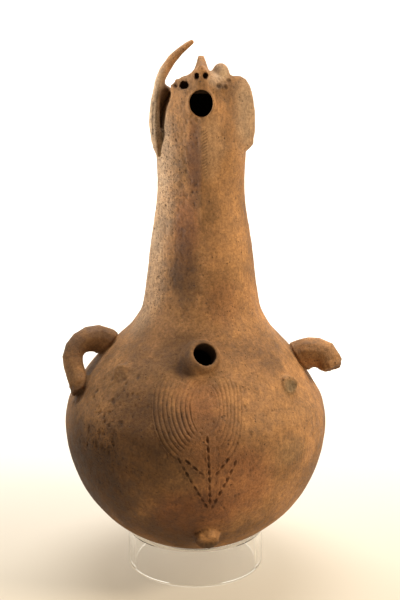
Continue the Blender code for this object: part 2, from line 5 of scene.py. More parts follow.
import bmesh
import bpy
import numpy as np
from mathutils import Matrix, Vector


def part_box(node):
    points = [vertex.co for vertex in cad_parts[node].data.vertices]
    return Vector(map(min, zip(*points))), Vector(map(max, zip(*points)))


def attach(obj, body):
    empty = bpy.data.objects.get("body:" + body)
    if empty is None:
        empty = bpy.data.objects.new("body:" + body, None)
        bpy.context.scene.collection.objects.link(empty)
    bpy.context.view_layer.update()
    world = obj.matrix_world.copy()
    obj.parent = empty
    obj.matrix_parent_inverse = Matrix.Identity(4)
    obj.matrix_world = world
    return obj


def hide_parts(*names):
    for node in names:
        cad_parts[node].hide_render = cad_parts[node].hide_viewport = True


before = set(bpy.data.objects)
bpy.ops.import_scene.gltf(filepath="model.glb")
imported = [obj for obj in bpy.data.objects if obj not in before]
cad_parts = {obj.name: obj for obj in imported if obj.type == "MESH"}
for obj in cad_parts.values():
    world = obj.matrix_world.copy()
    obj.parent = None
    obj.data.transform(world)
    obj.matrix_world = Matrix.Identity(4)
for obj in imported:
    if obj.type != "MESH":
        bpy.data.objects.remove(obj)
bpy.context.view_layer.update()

# The vessel's outer form, in metres, as its solid has it.
BODY_X = -0.0043
BODY_RADIUS = 0.1210
BODY_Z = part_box("vessel")[0].z + BODY_RADIUS
NECK_X = 0.0010
NECK_LENGTH = 0.1434
NECK_FOOT_RADIUS = 0.0530
NECK_MIDDLE_RADIUS = 0.0457
NECK_WAIST_RADIUS = 0.0389
SHOULDER_SHARES = (
    (0.150, 0.977), (0.300, 0.900), (0.420, 0.822), (0.536, 0.730), (0.644, 0.622), (0.744, 0.525),
)
NECK_FOOT_SHARE = 0.910
NECK_MIDDLE_SHARE = 0.38
NECK_WAIST_SHARE = 0.76
HEAD_RADIUS = 0.0406
HEAD_HEIGHT = 0.066
HEAD_SHARES = (
    (0.08, 0.95, 0.99, 0.0), (0.22, 0.91, 0.985, 0.0), (0.36, 0.86, 0.98, 0.0), (0.54, 0.765, 0.955, 0.01),
    (0.66, 0.67, 0.91, 0.03), (0.78, 0.645, 0.82, 0.09), (0.85, 0.56, 0.71, 0.17), (0.91, 0.40, 0.54, 0.31),
    (0.965, 0.20, 0.32, 0.49),
)
NECK_FOOT_Z = BODY_Z + NECK_FOOT_SHARE * BODY_RADIUS
HEAD_BASE_Z = NECK_FOOT_Z + NECK_LENGTH

# Mesh of the vessel: the size of the first even cells, and the most triangles of the finished piece.
FINE_CELL = 0.0012
CELL = FINE_CELL
WELD_DISTANCE = 0.000002
MOST_TRIANGLES = 176000
PROFILE_ROWS = 1200
SEED = 11


def smooth_curve(places):
    """Return a function through the (place, value) pairs that never overshoots between them."""
    xs = [place for place, _ in places]
    ys = [value for _, value in places]
    steps = [(ys[i + 1] - ys[i]) / (xs[i + 1] - xs[i]) for i in range(len(xs) - 1)]
    slopes = [0.0]
    for before, after in zip(steps, steps[1:]):
        slopes.append(0.0 if before * after <= 0 else 2 * before * after / (before + after))
    slopes.append(steps[-1])

    def value_at(place):
        place = min(max(place, xs[0]), xs[-1])
        i = max(k for k in range(len(xs) - 1) if k == 0 or xs[k] <= place)
        width = xs[i + 1] - xs[i]
        t = (place - xs[i]) / width
        rise = (3 - 2 * t) * t * t
        lead = t * (1 - t) ** 2 * width * slopes[i]
        tail = t * t * (t - 1) * width * slopes[i + 1]
        return ys[i] + rise * (ys[i + 1] - ys[i]) + lead + tail

    return value_at


def step(values, low, high):
    """Smooth step from 0 at low to 1 at high."""
    t = np.clip((values - low) / (high - low), 0.0, 1.0)
    return t * t * (3 - 2 * t)


def profile_table():
    """Heights up the vessel with the half width, half depth and centre of its skin at each."""
    places = [(BODY_Z, BODY_RADIUS)]
    places += [(BODY_Z + rise * BODY_RADIUS, share * BODY_RADIUS) for rise, share in SHOULDER_SHARES]
    places.append((NECK_FOOT_Z, NECK_FOOT_RADIUS))
    places.append((NECK_FOOT_Z + NECK_MIDDLE_SHARE * NECK_LENGTH, NECK_MIDDLE_RADIUS))
    places.append((NECK_FOOT_Z + NECK_WAIST_SHARE * NECK_LENGTH, NECK_WAIST_RADIUS))
    places.append((HEAD_BASE_Z, HEAD_RADIUS))
    neck = smooth_curve(places)
    width = smooth_curve([(0.0, 1.0)] + [(rise, wide) for rise, wide, _, _ in HEAD_SHARES])
    depth = smooth_curve([(0.0, 1.0)] + [(rise, deep) for rise, _, deep, _ in HEAD_SHARES])
    shift = smooth_curve([(0.0, 0.0)] + [(rise, forward) for rise, _, _, forward in HEAD_SHARES])
    low = BODY_Z + SHOULDER_SHARES[1][0] * BODY_RADIUS
    heights = np.linspace(BODY_Z - BODY_RADIUS, HEAD_BASE_Z + HEAD_SHARES[-1][0] * HEAD_HEIGHT, PROFILE_ROWS)
    rows = []
    for z in heights:
        rise = (z - HEAD_BASE_Z) / HEAD_HEIGHT
        if z < BODY_Z:
            half_x = half_y = math.sqrt(max(BODY_RADIUS ** 2 - (BODY_Z - z) ** 2, 1e-8))
        elif rise <= 0:
            half_x = half_y = neck(z)
        else:
            half_x, half_y = HEAD_RADIUS * width(rise), HEAD_RADIUS * depth(rise)
        t = min(max((z - low) / (NECK_FOOT_Z - low), 0.0), 1.0)
        centre_x = BODY_X + (NECK_X - BODY_X) * t * t * (3 - 2 * t)
        rows.append((half_x, half_y, centre_x, -HEAD_RADIUS * shift(max(rise, 0.0))))
    return heights, np.array(rows)


HEIGHTS, PROFILE = profile_table()
SLOPES = np.gradient(PROFILE[:, 0], HEIGHTS)


def skin_at(z):
    """Half width, half depth, centre x, centre y and slope of the skin at heights."""
    columns = [np.interp(z, HEIGHTS, PROFILE[:, k]) for k in range(4)]
    return columns + [np.interp(z, HEIGHTS, SLOPES)]


def round_about(points):
    """Turn from the front in radians, to the viewer's right, and height above the skin of each point."""
    half_x, half_y, centre_x, centre_y, slope = skin_at(points[:, 2])
    dx = (points[:, 0] - centre_x) / half_x
    dy = (points[:, 1] - centre_y) / half_y
    turn = np.arctan2(dx, -dy)
    level = (np.hypot(dx, dy) - 1) * np.minimum(half_x, half_y) / np.sqrt(1 + slope ** 2)
    low = points[:, 2] < BODY_Z
    ball = np.linalg.norm(points - np.array([BODY_X, 0.0, BODY_Z]), axis=1) - BODY_RADIUS
    return turn, np.where(low, ball, level)


def surface_point(turn, z):
    """Place on the skin at a turn in radians and a height."""
    half_x, half_y, centre_x, centre_y, _ = skin_at(np.asarray(z, float))
    return np.stack([centre_x + half_x * np.sin(turn), centre_y - half_y * np.cos(turn), z], -1)


def across_skin(turn, points):
    """Distance in metres of each point from the vessel's front line, along the skin."""
    return turn * skin_at(points[:, 2])[0]


# Large odd numbers that scatter the cells of the noise.
CELL_SCATTER = (73856093, 19349663, 83492791)
SEED_SCATTER = 2654435761
LAST_SCATTER = 1274126177


def lattice_noise(points, size, seed):
    """Smooth noise from -1 to 1 with features of the given size."""
    place = points / size + 100.0
    cell = np.floor(place).astype(np.int64)
    t = place - cell
    t = t * t * (3 - 2 * t)
    total = np.zeros(len(points))
    for corner in range(8):
        bits = np.array([corner & 1, (corner >> 1) & 1, (corner >> 2) & 1])
        at = cell + bits
        scattered = at * np.array(CELL_SCATTER)
        drawn = scattered[:, 0] ^ scattered[:, 1] ^ scattered[:, 2] ^ (seed * SEED_SCATTER)
        drawn = (drawn ^ (drawn >> 13)) * LAST_SCATTER
        value = ((drawn ^ (drawn >> 16)) & 0xFFFF) / 32767.5 - 1
        weight = np.prod(np.where(bits == 1, t, 1 - t), axis=1)
        total += weight * value
    return total


def mesh_arrays(mesh):
    """Places of a mesh's points, and the two points of each edge."""
    points = np.empty(len(mesh.vertices) * 3)
    mesh.vertices.foreach_get("co", points)
    ends = np.empty(len(mesh.edges) * 2, np.int64)
    mesh.edges.foreach_get("vertices", ends)
    return points.reshape(-1, 3), ends.reshape(-1, 2)


def mean_of_neighbours(points, ends):
    """Mean place of the points that edges join to each point."""
    count = len(points)
    here = np.concatenate([ends[:, 0], ends[:, 1]])
    there = np.concatenate([ends[:, 1], ends[:, 0]])
    degree = np.maximum(np.bincount(here, minlength=count), 1)
    sums = [np.bincount(here, points[there, k], minlength=count) for k in range(points.shape[1])]
    return np.stack(sums, -1) / degree[:, None]


def set_points(mesh, points):
    mesh.vertices.foreach_set("co", points.astype(np.float32).ravel())
    mesh.update()


def normals_of(mesh):
    """Outward direction at each point."""
    normals = np.empty(len(mesh.vertices) * 3, np.float32)
    mesh.vertex_normals.foreach_get("vector", normals)
    return normals.reshape(-1, 3).astype(float)


def evaluated_mesh(piece):
    """Copy of a piece's mesh with its modifiers applied."""
    graph = bpy.context.evaluated_depsgraph_get()
    return bpy.data.meshes.new_from_object(piece.evaluated_get(graph))


def new_piece(name, mesh):
    """A mesh as an object of the scene."""
    piece = bpy.data.objects.new(name, mesh)
    bpy.context.scene.collection.objects.link(piece)
    return piece


# Middles of the small forms.
MOUTH_CENTRE = np.array([NECK_X, -0.0385, HEAD_BASE_Z + 0.0390])
NOSE_CENTRE = np.array([NECK_X, -0.0386, HEAD_BASE_Z + 0.942 * HEAD_HEIGHT])
SPOUT_CENTRE = np.array([0.0030, -0.0790, 0.2230])
LEFT_NUB = (-0.0640, -0.0600, 0.2030)
RIGHT_NUB = (0.0760, -0.0570, 0.1900)
HEAD_STUMP = (-0.0190, -0.0250, 0.4480)

# Holes that stay sharp, and small forms that keep their edges: centre and radius of each.
KEPT_HOLES = ((MOUTH_CENTRE, 0.0150), (NOSE_CENTRE, 0.0085), (SPOUT_CENTRE, 0.0150))
KEPT_FORMS = (
    (MOUTH_CENTRE, 0.0150), (NOSE_CENTRE, 0.0110), (SPOUT_CENTRE, 0.0190), (LEFT_NUB, 0.0110),
    (RIGHT_NUB, 0.0125), ((0.0090, -0.0960, 0.0560), 0.0150), (HEAD_STUMP, 0.0120),
)
KEPT_FROM_FILLING = 0.80
KEPT_FROM_SMOOTHING = 0.70


def near(points, centre, radius, soft=0.5):
    """1 within a radius of a place, falling to 0 further out by a share of the radius."""
    distance = np.linalg.norm(points - np.asarray(centre), axis=1)
    return 1 - step(distance, radius, (1 + soft) * radius)


# Roll of clay along the front edge of the crest at the left: centre and radius up the edge.
CREST_ROLL = (
    ((-0.0350, -0.0170, 0.385), 0.0022), ((-0.0374, -0.0176, 0.394), 0.0042),
    ((-0.0388, -0.0180, 0.406), 0.0050), ((-0.0396, -0.0150, 0.418), 0.0047),
    ((-0.0394, -0.0125, 0.430), 0.0043), ((-0.0380, -0.0108, 0.440), 0.0036),
    ((-0.0362, -0.0090, 0.450), 0.0027), ((-0.0342, -0.0078, 0.459), 0.0015),
)
ROLL_SIDES = 16


def add_roll(data):
    """Add the crest's roll to the open bmesh as a closed solid of its own."""
    angles = [2 * math.pi * k / ROLL_SIDES for k in range(ROLL_SIDES)]
    rings = []
    for (x, y, z), radius in CREST_ROLL:
        places = [(x + radius * math.cos(a), y + radius * math.sin(a), z) for a in angles]
        rings.append([data.verts.new(place) for place in places])
    faces = [data.faces.new(rings[0]), data.faces.new(rings[-1])]
    for here, above in zip(rings, rings[1:]):
        for k in range(ROLL_SIDES):
            after = (k + 1) % ROLL_SIDES
            faces.append(data.faces.new((here[k], here[after], above[after], above[k])))
    bmesh.ops.recalc_face_normals(data, faces=faces)


def even_cells():
    """The vessel's solid with the crest's roll, as one mesh of even cells."""
    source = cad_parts["vessel"].data.copy()
    welded = bmesh.new()
    welded.from_mesh(source)
    bmesh.ops.remove_doubles(welded, verts=welded.verts, dist=WELD_DISTANCE)
    add_roll(welded)
    welded.to_mesh(source)
    welded.free()
    piece = new_piece("rounding", source)
    cells = piece.modifiers.new("cells", "REMESH")
    cells.mode = "VOXEL"
    cells.voxel_size = CELL
    mesh = evaluated_mesh(piece)
    bpy.data.objects.remove(piece)
    return mesh


# How the even cells are rounded: joints fill up, facets smooth out, then the skin goes onto its true form.
FILL_ROUNDS = int(28 * (FINE_CELL / CELL) ** 2) + 4
FILL_SHARE = 0.6
SMOOTH_ROUNDS = int(10 * FINE_CELL / CELL)
SMOOTH_SHARES = (0.50, -0.52)
ONTO_ROUNDS = 2
ONTO_REACH = (0.0009, 0.0026)
ONTO_TOP = HEAD_BASE_Z + 0.058

# The fin's root, which stays off the round skin: turns and heights between which it begins.
FIN_TURNS = (0.42, 0.60)
FIN_HEIGHTS = (HEAD_BASE_Z - 0.014, HEAD_BASE_Z - 0.004)

# Levels within the wall between which its inside turns into its outside, for shape and for the painted shade
# that darkens the hollow inside.
WALL_LEVELS = (-0.0042, -0.0028)
WALL_PAINTED_SHADE_LEVELS = (-0.0046, -0.0026)


def outside(level):
    """1 on the vessel's outside, falling to 0 within its wall."""
    return step(level, *WALL_LEVELS)


def rounded_solid():
    """The vessel's solid as even cells, its facets and joints smoothed as fingers leave them."""
    mesh = even_cells()
    points, ends = mesh_arrays(mesh)
    holes = np.maximum.reduce([near(points, centre, radius) for centre, radius in KEPT_HOLES])
    kept = np.maximum.reduce([near(points, centre, radius, 0.35) for centre, radius in KEPT_FORMS])
    turn, _ = round_about(points)
    fin = step(turn, *FIN_TURNS) * step(points[:, 2], *FIN_HEIGHTS)
    free = (1 - holes) * (1 - KEPT_FROM_FILLING * kept)
    for _ in range(FILL_ROUNDS):
        set_points(mesh, points)
        normals = normals_of(mesh)
        pull = np.einsum("ij,ij->i", mean_of_neighbours(points, ends) - points, normals)
        _, level = round_about(points)
        rise = FILL_SHARE * np.maximum(pull, 0) * free * outside(level)
        points = points + rise[:, None] * normals
    for share in SMOOTH_ROUNDS * SMOOTH_SHARES:
        moved = share * (1 - KEPT_FROM_SMOOTHING * kept)
        points = points + moved[:, None] * (mean_of_neighbours(points, ends) - points)
    free = 1 - np.maximum.reduce([holes, kept, fin])
    for _ in range(ONTO_ROUNDS):
        _, level = round_about(points)
        set_points(mesh, points)
        normals = normals_of(mesh)
        onto = (1 - step(np.abs(level), *ONTO_REACH)) * free * (points[:, 2] < ONTO_TOP)
        points = points - (level * onto)[:, None] * normals
    set_points(mesh, points)
    return mesh


# Incised pattern on the front of the ball: nested arcs, and rows of short stabs below them.
LEFT_ARC_COUNT = 9
LEFT_ARC_SPACING = 0.0040
LEFT_ARC_STRETCH = 0.88
RIGHT_ARC_COUNT = 7
RIGHT_ARC_SPACING = 0.0033
RIGHT_ARC_STRETCH = 1.50
ARC_INNER_WIDTH = 0.0125
ARC_INNER_HEIGHT = 0.0205
ARC_UPPER_SHARE = 0.88
ARC_TURN = math.radians(4.4)
ARC_Z = BODY_Z + 0.360 * BODY_RADIUS
ARC_TOP_RISE = 0.0195
ARC_END_RISE = -0.84
ARC_CLOSE_START = 0.86
ARC_CLOSE_END = 0.97
ARC_FIELD = (0.125, 0.215)
ARC_WANDER = 0.00035
ARC_WANDER_SIZE = 0.011
ARC_START_WANDER = 0.0022
RIGHT_ARC_START_DROP = 0.0012
ARC_SEARCH_ROUNDS = 8
RIGHT_ARC_SHARE = 0.62
ARC_WEAR = 0.25
ARC_WEAR_SIZE = 0.014
GROOVE_HALF_WIDTH = 0.00072
GROOVE_DEPTH = 0.00062
RIDGE_HEIGHT = 0.00030

# Rows of stabs: turn in degrees and rise in body radii of the first and the last, and how many.
STAB_ROWS = (
    ((-6.1, 0.015), (4.6, -0.336), 8),
    ((5.0, 0.161), (6.2, -0.303), 9),
    ((15.9, -0.018), (7.5, -0.349), 7),
    ((-2.6, 0.005), (2.8, -0.079), 3),
    ((12.9, 0.016), (8.6, -0.083), 3),
)
STAB_HALF_LENGTH = 0.0025
STAB_HALF_WIDTH = 0.00105
STAB_DEPTH = 0.00175
STAB_LIP = 0.00042
STAB_LIP_AT = 1.55
STAB_LIP_WIDTH = 0.42


def arcs(turn, points):
    """How deep each point lies in the nested arcs, and how high on the ridges between them, 0 to 1."""
    half_x = skin_at(points[:, 2])[0]
    across = (turn - ARC_TURN) * half_x
    up = points[:, 2] - ARC_Z
    across = across + ARC_WANDER * lattice_noise(points, ARC_WANDER_SIZE, 3)
    up_even = np.where(up > 0, up / ARC_UPPER_SHARE, up)
    left = across < 0
    spacing = np.where(left, LEFT_ARC_SPACING, RIGHT_ARC_SPACING)
    stretch = np.where(left, LEFT_ARC_STRETCH, RIGHT_ARC_STRETCH)
    growth = np.maximum(np.abs(across) - ARC_INNER_WIDTH, 0)
    for _ in range(ARC_SEARCH_ROUNDS):
        wide = np.maximum(ARC_INNER_WIDTH + growth, 0.002)
        high = np.maximum(ARC_INNER_HEIGHT + stretch * growth, 0.002)
        error = (across / wide) ** 2 + (up_even / high) ** 2 - 1
        change = -2 * across ** 2 / wide ** 3 - 2 * stretch * up_even ** 2 / high ** 3
        growth = growth - error / np.minimum(change, -1.0)
        growth = np.clip(growth, -0.01, 0.06)
    high = ARC_INNER_HEIGHT + stretch * growth
    steps = growth / spacing
    number = np.round(steps)
    groove = np.exp(-(((steps - number) * spacing) / GROOVE_HALF_WIDTH) ** 2)
    start = ARC_TOP_RISE + ARC_START_WANDER * np.sin(5.1 * number + 3.0 * left)
    start = start - np.where(left, 0.0, RIGHT_ARC_START_DROP) * np.maximum(number - 3, 0)
    count = np.where(left, LEFT_ARC_COUNT, RIGHT_ARC_COUNT)
    inside = (number >= 0) & (number < count)
    rise = up_even / high
    fade = (1 - step(up, start - 0.003, start + 0.001)) * step(rise, ARC_END_RISE - 0.03, ARC_END_RISE + 0.05)
    fade = fade * (1 - step(rise, ARC_CLOSE_START, ARC_CLOSE_END))
    worn = 1 - ARC_WEAR + ARC_WEAR * lattice_noise(points, ARC_WEAR_SIZE, 5)
    faint = np.where(left, 1.0, RIGHT_ARC_SHARE) * worn
    between = (1 - groove) * (steps > -0.4) * (steps < count - 0.6)
    return groove * inside * fade * faint, between * fade * faint


def stab_places():
    """Place, direction and share of the full depth of each stab."""
    draw = np.random.default_rng(SEED)
    found = []
    for first, last, count in STAB_ROWS:
        start, end = [
            surface_point(math.radians(turn), BODY_Z + rise * BODY_RADIUS) for turn, rise in (first, last)
        ]
        along = (end - start) / np.linalg.norm(end - start)
        for k in range(count):
            t = (k + draw.uniform(-0.12, 0.12)) / (count - 1)
            turn = math.radians(first[0] + (last[0] - first[0]) * t)
            z = BODY_Z + (first[1] + (last[1] - first[1]) * t) * BODY_RADIUS
            found.append((surface_point(turn, z), along, draw.uniform(0.6, 1.1)))
    return found


def stabs(points):
    """How deep each point lies in a stab, and how high on the lip pushed up around it, 0 to 1."""
    depth = np.zeros(len(points))
    lip = np.zeros(len(points))
    for place, along, share in stab_places():
        away = points - place
        outward = (place - np.array([BODY_X, 0.0, BODY_Z])) / BODY_RADIUS
        across = np.cross(along, outward)
        far = ((away @ along) / STAB_HALF_LENGTH) ** 2 + ((away @ across) / STAB_HALF_WIDTH) ** 2
        close = np.abs(away @ outward) < 0.004
        depth = np.maximum(depth, share * np.exp(-far ** 1.3) * close)
        lip = np.maximum(lip, share * np.exp(-((np.sqrt(far) - STAB_LIP_AT) / STAB_LIP_WIDTH) ** 2) * close)
    return depth, lip * (1 - depth)


# Throat: a keel below the mouth, a band of painted shade on its shaded left side and a row of short slanted
# strokes at its right. The starts and ends are pairs, between which each fades in or out.
KEEL_HEIGHT = 0.0024
KEEL_HALF_WIDTH = 0.0075
KEEL_START = (0.300, 0.365)
KEEL_END = (0.412, 0.420)
BAND_LEFT = (-0.0095, -0.0020)
BAND_RIGHT = (0.0000, 0.0012)
BAND_START = (0.335, 0.362)
BAND_END = (0.410, 0.418)
STROKE_COUNT = 15
STROKE_TOP_Z = 0.4100
STROKE_LOW_Z = 0.3720
STROKE_INNER = (0.0002, 0.0012)
STROKE_OUTER = (0.0042, 0.0056)
STROKE_SLANT = 0.55
STROKE_WIDTH_SHARE = 0.24
STROKE_DEPTH = 0.00055


def keel(turn, points):
    """How high each point lies on the keel below the mouth, 0 to 1."""
    crest = np.exp(-np.abs(across_skin(turn, points) / KEEL_HALF_WIDTH) ** 1.3)
    z = points[:, 2]
    return crest * step(z, *KEEL_START) * (1 - step(z, *KEEL_END)) * (np.abs(turn) < 1)


def throat_shade_band(turn, points):
    """Band of painted shade along the left of the keel, sharp at the keel's crest."""
    across = across_skin(turn, points)
    z = points[:, 2]
    sideways = step(across, *BAND_LEFT) * (1 - step(across, *BAND_RIGHT))
    return sideways * step(z, *BAND_START) * (1 - step(z, *BAND_END)) * (np.abs(turn) < 1)


def strokes(turn, points):
    """How deep each point lies in the slanted strokes beside the keel, 0 to 1."""
    across = across_skin(turn, points)
    z = points[:, 2]
    spacing = (STROKE_TOP_Z - STROKE_LOW_Z) / (STROKE_COUNT - 1)
    place = (z - STROKE_SLANT * across - STROKE_LOW_Z) / spacing
    wave = np.exp(-((place - np.round(place)) / STROKE_WIDTH_SHARE) ** 2)
    along = step(across, *STROKE_INNER) * (1 - step(across, *STROKE_OUTER))
    ends = step(z, STROKE_LOW_Z - 0.002, STROKE_LOW_Z + 0.004)
    return wave * along * ends * (1 - step(z, STROKE_TOP_Z, STROKE_TOP_Z + 0.004))


# Pits, in groups scattered over patches of the skin: turns in degrees, heights, count, radii and depth.
PIT_GROUPS = (
    ((-98, 0), (0.325, 0.436), 620, (0.0005, 0.0010), 0.00085),
    ((-85, -8), (0.250, 0.335), 340, (0.0005, 0.0010), 0.00065),
    ((-20, 25), (0.245, 0.350), 70, (0.0005, 0.0010), 0.00045),
    ((20, 90), (0.245, 0.420), 60, (0.0005, 0.0009), 0.00035),
    ((-62, -22), (0.138, 0.204), 60, (0.0008, 0.0015), 0.00130),
    ((-85, 85), (0.050, 0.230), 330, (0.0006, 0.0012), 0.00050),
    ((90, 270), (0.050, 0.420), 260, (0.0006, 0.0014), 0.00050),
)
PIT_STRETCH = 1.6

# Cracks, as lines on the skin: turn in degrees and height of both ends.
CRACKS = (
    ((-27.0, 0.414), (-24.0, 0.402)),
    ((-16.8, 0.398), (-15.5, 0.391)),
    ((-23.0, 0.392), (-22.0, 0.386)),
    ((-27.0, 0.384), (-25.5, 0.374)),
)
CRACK_HALF_WIDTH = 0.0005
CRACK_DEPTH = 0.0006


def pit_places():
    """Place, radius and depth of each pit."""
    draw = np.random.default_rng(SEED + 1)
    found = []
    for (first, last), heights, count, radii, depth in PIT_GROUPS:
        for _ in range(count):
            turn = math.radians(draw.triangular(first, 0.5 * (first + last), last))
            z = draw.uniform(*heights)
            radius = draw.uniform(*radii) * draw.uniform(0.8, 1.25)
            found.append((surface_point(turn, z), radius, depth * draw.uniform(0.4, 1.2)))
    return found


def pits(points):
    """Depth in metres at each point of all the pits and cracks."""
    depth = np.zeros(len(points))
    order = np.argsort(points[:, 2])
    heights = points[order, 2]
    for place, radius, deep in pit_places():
        reach = 2.2 * PIT_STRETCH * radius
        low, high = np.searchsorted(heights, [place[2] - reach, place[2] + reach])
        chosen = order[low:high]
        away = points[chosen] - place
        away[:, 2] /= PIT_STRETCH
        far = np.einsum("ij,ij->i", away, away) / radius ** 2
        depth[chosen] = np.maximum(depth[chosen], deep * np.exp(-far ** 1.5))
    for ends in CRACKS:
        start, end = [surface_point(math.radians(turn), z) for turn, z in ends]
        line = end - start
        t = np.clip((points - start) @ line / (line @ line), 0, 1)
        away = np.linalg.norm(points - start - t[:, None] * line, axis=1)
        depth = np.maximum(depth, CRACK_DEPTH * np.exp(-(away / CRACK_HALF_WIDTH) ** 2))
    return depth


# Broken places: centre, radius and how rough the break is.
BREAKS = (
    ((-0.1070, -0.0360, 0.1760), 0.0115, 0.0009),
    ((0.1215, -0.0160, 0.1930), 0.0120, 0.0009),
    (LEFT_NUB, 0.0095, 0.0005),
    (RIGHT_NUB, 0.0105, 0.0008),
    ((0.0060, -0.0930, 0.0590), 0.0140, 0.0008),
    (HEAD_STUMP, 0.0110, 0.0006),
)


def roughness_of_breaks(points):
    """Height in metres of the rough grain of the broken places."""
    rough = np.zeros(len(points))
    for centre, radius, height in BREAKS:
        rough = np.maximum(rough, height * near(points, centre, radius, 0.3))
    return rough


# Unevenness of the skin, as noises: height, size and seed. That of the breaks is a share of their roughness.
BROAD_WAVES = ((0.00045, 0.050, 21), (0.00022, 0.021, 22))
FINE_WAVES = ((0.00014, 0.0085, 23), (0.00010, 0.0042, 24))
BREAK_WAVES = ((1.0, 0.0042, 26), (0.6, 0.0021, 27))
WORN_HEIGHT = 0.00016
WORN_SIZE = 0.0030
WORN_STRETCH = (1, 1, 0.7)
CALM_BOTTOM = (0.038, 0.060)


def waves(points, noises):
    """Sum of noises, each with its height, size and seed."""
    return sum(height * lattice_noise(points, size, seed) for height, size, seed in noises)


def unevenness(points):
    """Height in metres of the broad waves of hand building, of the finer wear and of the breaks."""
    turn, _ = round_about(points)
    worn = step(-turn, 0.25, 0.7) * step(points[:, 2], 0.25, 0.30)
    fine = waves(points, FINE_WAVES)
    fine = fine + worn * WORN_HEIGHT * lattice_noise(points * WORN_STRETCH, WORN_SIZE, 25)
    calm = step(points[:, 2], *CALM_BOTTOM)
    jagged = roughness_of_breaks(points) * waves(points, BREAK_WAVES)
    return calm * (waves(points, BROAD_WAVES) + fine) + jagged


# Bore of the chest spout, as the solid has it; shade is painted into it.
SPOUT_FOOT_TURN = math.radians(1.8)
SPOUT_FOOT_Z = BODY_Z + 0.648 * BODY_RADIUS
SPOUT_TILT = math.radians(34)
SPOUT_TURN = math.radians(22)
SPOUT_LENGTH = 0.0102
SPOUT_BORE_RADIUS = 0.0100


def spout_bore(points):
    """1 on the bore of the chest spout, from just under its rim inwards, where shade is painted."""
    foot = surface_point(SPOUT_FOOT_TURN, SPOUT_FOOT_Z)
    flat = np.array([math.sin(SPOUT_TURN), -math.cos(SPOUT_TURN), 0.0])
    axis = math.cos(SPOUT_TILT) * flat + np.array([0.0, 0.0, math.sin(SPOUT_TILT)])
    along = (points - foot) @ axis
    away = np.linalg.norm(points - foot - along[:, None] * axis, axis=1)
    inside = 1 - step(away, SPOUT_BORE_RADIUS + 0.0002, SPOUT_BORE_RADIUS + 0.0016)
    return inside * (1 - step(along, SPOUT_LENGTH - 0.0022, SPOUT_LENGTH - 0.0002)) * (along > -0.03)


# Marks of the face as seen from the front: x, z, half width, half height, depth, rim height and darkness,
# which is painted shade in the dent or hole. The first two are the nostrils, which are holes of the solid and
# only get their rims and their painted shade here.
FACE_MARKS = (
    (-0.0029, 0.4572, 0.0021, 0.0030, 0.0000, 0.0005, 0.95),
    (0.0039, 0.4572, 0.0021, 0.0030, 0.0000, 0.0005, 0.95),
    (-0.0136, 0.4492, 0.0044, 0.0036, 0.0028, 0.0005, 0.72),
    (-0.0211, 0.4492, 0.0027, 0.0023, 0.0022, 0.0004, 0.60),
    (0.0161, 0.4483, 0.0021, 0.0020, 0.0018, 0.0003, 0.75),
    (0.0214, 0.4472, 0.0017, 0.0017, 0.0010, 0.0012, 0.60),
    (0.0246, 0.4527, 0.0016, 0.0015, 0.0012, 0.0003, 0.60),
)
MARK_UNEVENNESS = 0.22
MARK_RIM_AT = 1.45
MARK_RIM_WIDTH = 0.32

# The mouth is a hole of the solid too, with shade painted within this oval.
MOUTH_HALF_WIDTH = 0.0098
MOUTH_HALF_HEIGHT = 0.0107


def face(points, level):
    """Height that the marks of the face give, and the shade painted into their dents and holes."""
    height = np.zeros(len(points))
    dark = np.zeros(len(points))
    front = (points[:, 1] < -0.010) & (points[:, 2] > 0.425) & (level > -0.006)
    uneven = lattice_noise(points, 0.0032, 31)
    for x, z, half_x, half_z, depth, rim, shade_and_mark_dark in FACE_MARKS:
        far = np.hypot((points[:, 0] - x) / half_x, (points[:, 2] - z) / half_z)
        far = np.maximum(far + MARK_UNEVENNESS * uneven, 0)
        dent = np.exp(-far ** 4) * front
        edge = np.exp(-((far - MARK_RIM_AT) / MARK_RIM_WIDTH) ** 2) * front
        height += rim * edge - depth * dent
        dark = np.maximum(dark, shade_and_mark_dark * dent)
    sideways = (points[:, 0] - NECK_X) / MOUTH_HALF_WIDTH
    up = (points[:, 2] - MOUTH_CENTRE[2]) / MOUTH_HALF_HEIGHT
    far = np.hypot(sideways, up)
    dark = np.maximum(dark, (1 - step(far, 1.00, 1.10)) * (1 - step(level, -0.0008, 0.0006)) * front)
    return height, dark


# Slit along the front of the crest at the left: x and z up the line.
SLIT = ((-0.0407, 0.404), (-0.0411, 0.418), (-0.0402, 0.437))
SLIT_HALF_WIDTH = 0.0007
SLIT_DEPTH = 0.0009


def slit(points):
    """How deep each point lies in the slit, 0 to 1."""
    xs, zs = zip(*SLIT)
    x, y, z = points.T
    line = np.exp(-((x - np.interp(z, zs, xs)) / SLIT_HALF_WIDTH) ** 2)
    ends = step(z, zs[0], zs[0] + 0.003) * (1 - step(z, zs[-1] - 0.004, zs[-1]))
    return line * ends * (y < -0.006) * (x < -0.036)


# How dark each kind of mark is coloured, 0 to 1; in the throat band and the slit this is painted shade.
GROOVE_DARK = 0.26
STAB_DARK = 0.66
STROKE_DARK = 0.42
PIT_DARK = 0.70
FULL_PIT_DEPTH = 0.0009
THROAT_PAINTED_SHADE = 0.34
# Painted shade in the slit along the crest.
SLIT_PAINTED_SHADE = 0.7

# How near the round skin a mark still counts, how far it may turn from the front, and where the spout is.
SKIN_REACH = (0.0022, 0.0034)
FRONT_TURN = 1.2
SPOUT_REACH = 0.019


